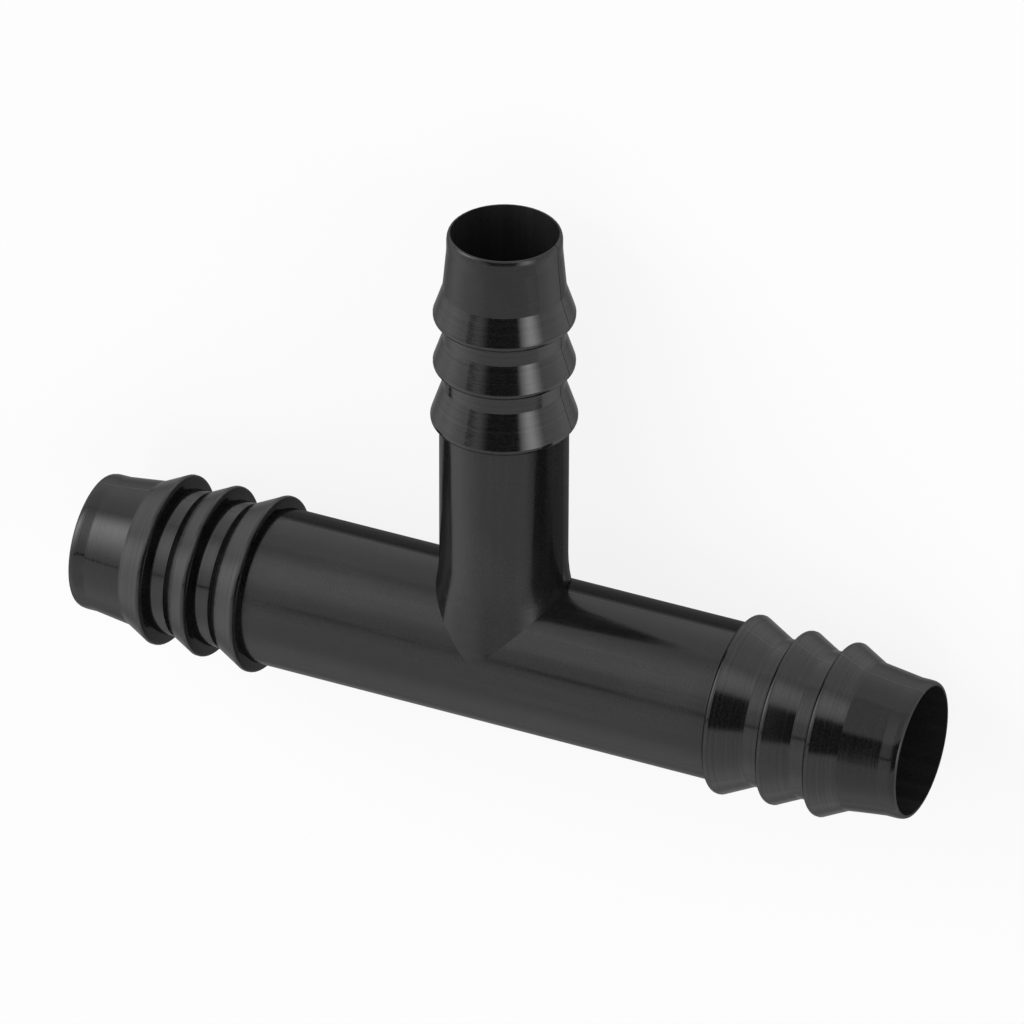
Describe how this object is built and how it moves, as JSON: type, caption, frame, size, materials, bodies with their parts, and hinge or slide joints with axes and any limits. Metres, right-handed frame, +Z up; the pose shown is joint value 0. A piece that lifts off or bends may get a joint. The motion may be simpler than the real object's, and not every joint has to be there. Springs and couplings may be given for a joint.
{
  "type": "tee connector",
  "caption": "Barbed reducing tee for flexible hose, one black plastic moulding with a straight run and a narrower branch.",
  "frame": {"origin": "where the run's axis and the branch's axis meet, inside the run's bore", "axes": "+X along the run, +Y along the branch towards its tip, +Z up as the tee lies on its side"},
  "size_m": [0.1396, 0.0879, 0.0282],
  "materials": {
    "black_plastic": "smooth moulded black, fairly glossy"
  },
  "bodies": {
    "root": {"tee_body": "black_plastic"}
  },
  "joints": []
}
